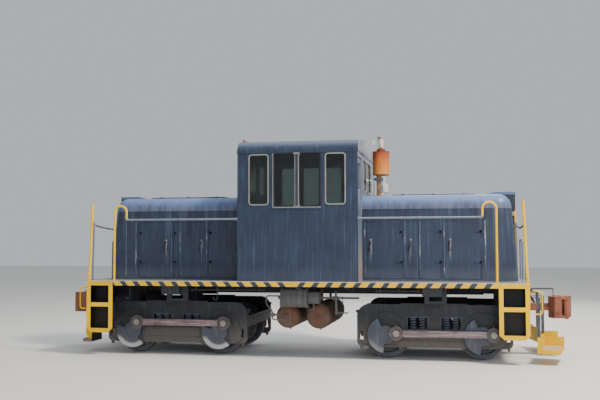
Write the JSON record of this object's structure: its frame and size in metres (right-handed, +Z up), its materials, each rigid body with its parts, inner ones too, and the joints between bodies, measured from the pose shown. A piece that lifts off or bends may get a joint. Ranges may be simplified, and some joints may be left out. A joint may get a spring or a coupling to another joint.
{
  "type": "diesel shunting locomotive",
  "caption": "Small centre-cab diesel shunting locomotive with low hoods, side-rod bogies, walkway railings, corner steps and knuckle couplers.",
  "frame": {"origin": "under the middle of the cab, at the lowest points of the wheel flanges, 28 mm below rail level", "axes": "+X along the frame towards the right end in the picture, +Y away from the picture's viewer, +Z up"},
  "size_m": [9.72, 2.78, 4.1458],
  "materials": {
    "body_blue": "weathered dark blue paint",
    "yellow": "worn yellow paint",
    "black": "dusty black paint",
    "grey": "grey paint",
    "rod_steel": "rusty machined steel",
    "wheel_steel": "dark steel, bright treads",
    "rust": "rusted steel",
    "alu": "dull aluminium",
    "glass": "clear glass",
    "bell_metal": "silver paint",
    "cab_inside": "grey-green paint",
    "seat_cover": "black vinyl",
    "chain_steel": "plain steel"
  },
  "bodies": {
    "locomotive": {"underframe": "black", "deck": "body_blue", "corner_steps": "yellow", "footboards": "yellow", "cab_side_near": "body_blue", "cab_side_far": "body_blue", "cab_end_right": "body_blue", "cab_end_left": "body_blue", "cab_roof": "body_blue", "window_frames": "alu", "window_glass": "glass", "hood_right": "body_blue", "hood_left": "body_blue", "radiators": "black", "headlights": "body_blue", "headlight_glass": "glass", "exhaust_stacks": "rust", "bell": "bell_metal", "hood_hatches": "body_blue", "yellow_rails": "yellow", "handrails": "grey", "end_chains": "chain_steel", "couplers": "rod_steel", "cut_levers": "yellow", "end_air_pipes": "black", "reservoirs": "rust", "brake_cylinder": "black", "engines": "grey", "control_stand": "cab_inside", "seat": "seat_cover"},
    "bogie_left": {"bogie_frame_left": "black", "springs_left": "black", "motor_left": "black"},
    "wheelset_left_inner": {"wheelset_left_inner": "wheel_steel"},
    "wheelset_left_outer": {"wheelset_left_outer": "wheel_steel"},
    "side_rod_left_near": {"side_rod_left_near": "rod_steel"},
    "side_rod_left_far": {"side_rod_left_far": "rod_steel"},
    "bogie_right": {"bogie_frame_right": "black", "springs_right": "black", "motor_right": "black"},
    "wheelset_right_inner": {"wheelset_right_inner": "wheel_steel"},
    "wheelset_right_outer": {"wheelset_right_outer": "wheel_steel"},
    "side_rod_right_near": {"side_rod_right_near": "rod_steel"},
    "side_rod_right_far": {"side_rod_right_far": "rod_steel"},
    "hood_door_left_near_1": {"hood_door_left_near_1": "body_blue"},
    "hood_door_left_near_2": {"hood_door_left_near_2": "body_blue"},
    "hood_door_left_near_3": {"hood_door_left_near_3": "body_blue"},
    "hood_door_left_far_1": {"hood_door_left_far_1": "body_blue"},
    "hood_door_left_far_2": {"hood_door_left_far_2": "body_blue"},
    "hood_door_left_far_3": {"hood_door_left_far_3": "body_blue"},
    "hood_door_right_near_1": {"hood_door_right_near_1": "body_blue"},
    "hood_door_right_near_2": {"hood_door_right_near_2": "body_blue"},
    "hood_door_right_near_3": {"hood_door_right_near_3": "body_blue"},
    "hood_door_right_far_1": {"hood_door_right_far_1": "body_blue"},
    "hood_door_right_far_2": {"hood_door_right_far_2": "body_blue"},
    "hood_door_right_far_3": {"hood_door_right_far_3": "body_blue"},
    "cab_door_right": {"cab_door_right": "body_blue"},
    "cab_door_left": {"cab_door_left": "body_blue"},
    "knuckle_left": {"knuckle_left": "rod_steel"},
    "knuckle_right": {"knuckle_right": "rod_steel"}
  },
  "joints": [
    {"name": "bogie_swivel_left", "type": "hinge", "parent": "locomotive", "child": "bogie_left", "pos_m": [-2.39, 0, 0.953], "axis": [0, 0, 1], "range_deg": [-5, 5]},
    {"name": "axle_left_inner", "type": "hinge", "parent": "bogie_left", "child": "wheelset_left_inner", "pos_m": [-1.545, 0, 0.447], "axis": [0, 1, 0], "continuous": true},
    {"name": "axle_left_outer", "type": "hinge", "parent": "bogie_left", "child": "wheelset_left_outer", "pos_m": [-3.235, 0, 0.447], "axis": [0, 1, 0], "continuous": true},
    {"name": "rod_pin_left_near", "type": "hinge", "parent": "wheelset_left_inner", "child": "side_rod_left_near", "pos_m": [-1.43315, -1.112, 0.60674], "axis": [0, 1, 0], "continuous": true},
    {"name": "rod_pin_left_far", "type": "hinge", "parent": "wheelset_left_inner", "child": "side_rod_left_far", "pos_m": [-1.70473, 1.112, 0.55885], "axis": [0, 1, 0], "continuous": true},
    {"name": "bogie_swivel_right", "type": "hinge", "parent": "locomotive", "child": "bogie_right", "pos_m": [2.39, 0, 0.953], "axis": [0, 0, 1], "range_deg": [-5, 5]},
    {"name": "axle_right_inner", "type": "hinge", "parent": "bogie_right", "child": "wheelset_right_inner", "pos_m": [1.545, 0, 0.447], "axis": [0, 1, 0], "continuous": true},
    {"name": "axle_right_outer", "type": "hinge", "parent": "bogie_right", "child": "wheelset_right_outer", "pos_m": [3.235, 0, 0.447], "axis": [0, 1, 0], "continuous": true},
    {"name": "rod_pin_right_near", "type": "hinge", "parent": "wheelset_right_inner", "child": "side_rod_right_near", "pos_m": [1.7376, -1.112, 0.47751], "axis": [0, 1, 0], "continuous": true},
    {"name": "rod_pin_right_far", "type": "hinge", "parent": "wheelset_right_inner", "child": "side_rod_right_far", "pos_m": [1.51449, 1.112, 0.6396], "axis": [0, 1, 0], "continuous": true},
    {"name": "hood_door_left_near_1_hinge", "type": "hinge", "parent": "locomotive", "child": "hood_door_left_near_1", "pos_m": [-1.841, -0.762, 1.95], "axis": [0, 0, -1], "range_deg": [0, 90]},
    {"name": "hood_door_left_near_2_hinge", "type": "hinge", "parent": "locomotive", "child": "hood_door_left_near_2", "pos_m": [-2.547, -0.762, 1.95], "axis": [0, 0, -1], "range_deg": [0, 90]},
    {"name": "hood_door_left_near_3_hinge", "type": "hinge", "parent": "locomotive", "child": "hood_door_left_near_3", "pos_m": [-3.253, -0.762, 1.95], "axis": [0, 0, -1], "range_deg": [0, 90]},
    {"name": "hood_door_left_far_1_hinge", "type": "hinge", "parent": "locomotive", "child": "hood_door_left_far_1", "pos_m": [-1.841, 0.762, 1.95], "axis": [0, 0, 1], "range_deg": [0, 90]},
    {"name": "hood_door_left_far_2_hinge", "type": "hinge", "parent": "locomotive", "child": "hood_door_left_far_2", "pos_m": [-2.547, 0.762, 1.95], "axis": [0, 0, 1], "range_deg": [0, 90]},
    {"name": "hood_door_left_far_3_hinge", "type": "hinge", "parent": "locomotive", "child": "hood_door_left_far_3", "pos_m": [-3.253, 0.762, 1.95], "axis": [0, 0, 1], "range_deg": [0, 90]},
    {"name": "hood_door_right_near_1_hinge", "type": "hinge", "parent": "locomotive", "child": "hood_door_right_near_1", "pos_m": [1.841, -0.762, 1.95], "axis": [0, 0, 1], "range_deg": [0, 90]},
    {"name": "hood_door_right_near_2_hinge", "type": "hinge", "parent": "locomotive", "child": "hood_door_right_near_2", "pos_m": [2.547, -0.762, 1.95], "axis": [0, 0, 1], "range_deg": [0, 90]},
    {"name": "hood_door_right_near_3_hinge", "type": "hinge", "parent": "locomotive", "child": "hood_door_right_near_3", "pos_m": [3.253, -0.762, 1.95], "axis": [0, 0, 1], "range_deg": [0, 90]},
    {"name": "hood_door_right_far_1_hinge", "type": "hinge", "parent": "locomotive", "child": "hood_door_right_far_1", "pos_m": [1.841, 0.762, 1.95], "axis": [0, 0, -1], "range_deg": [0, 90]},
    {"name": "hood_door_right_far_2_hinge", "type": "hinge", "parent": "locomotive", "child": "hood_door_right_far_2", "pos_m": [2.547, 0.762, 1.95], "axis": [0, 0, -1], "range_deg": [0, 90]},
    {"name": "hood_door_right_far_3_hinge", "type": "hinge", "parent": "locomotive", "child": "hood_door_right_far_3", "pos_m": [3.253, 0.762, 1.95], "axis": [0, 0, -1], "range_deg": [0, 90]},
    {"name": "cab_door_right_hinge", "type": "hinge", "parent": "locomotive", "child": "cab_door_right", "pos_m": [1.038, -1.3, 2.4], "axis": [0, 0, 1], "range_deg": [0, 90]},
    {"name": "cab_door_left_hinge", "type": "hinge", "parent": "locomotive", "child": "cab_door_left", "pos_m": [-1.038, 1.3, 2.4], "axis": [0, 0, 1], "range_deg": [0, 90]},
    {"name": "knuckle_left_pin", "type": "hinge", "parent": "locomotive", "child": "knuckle_left", "pos_m": [-4.745, 0.14, 0.904], "axis": [0, 0, -1], "range_deg": [0, 45]},
    {"name": "knuckle_right_pin", "type": "hinge", "parent": "locomotive", "child": "knuckle_right", "pos_m": [4.745, -0.14, 0.904], "axis": [0, 0, -1], "range_deg": [0, 45]}
  ],
  "couplings": [
    {"joint": "axle_left_outer", "follows": "axle_left_inner", "ratio": 1},
    {"joint": "rod_pin_left_near", "follows": "axle_left_inner", "ratio": -1},
    {"joint": "rod_pin_left_far", "follows": "axle_left_inner", "ratio": -1},
    {"joint": "axle_right_outer", "follows": "axle_right_inner", "ratio": 1},
    {"joint": "rod_pin_right_near", "follows": "axle_right_inner", "ratio": -1},
    {"joint": "rod_pin_right_far", "follows": "axle_right_inner", "ratio": -1}
  ]
}
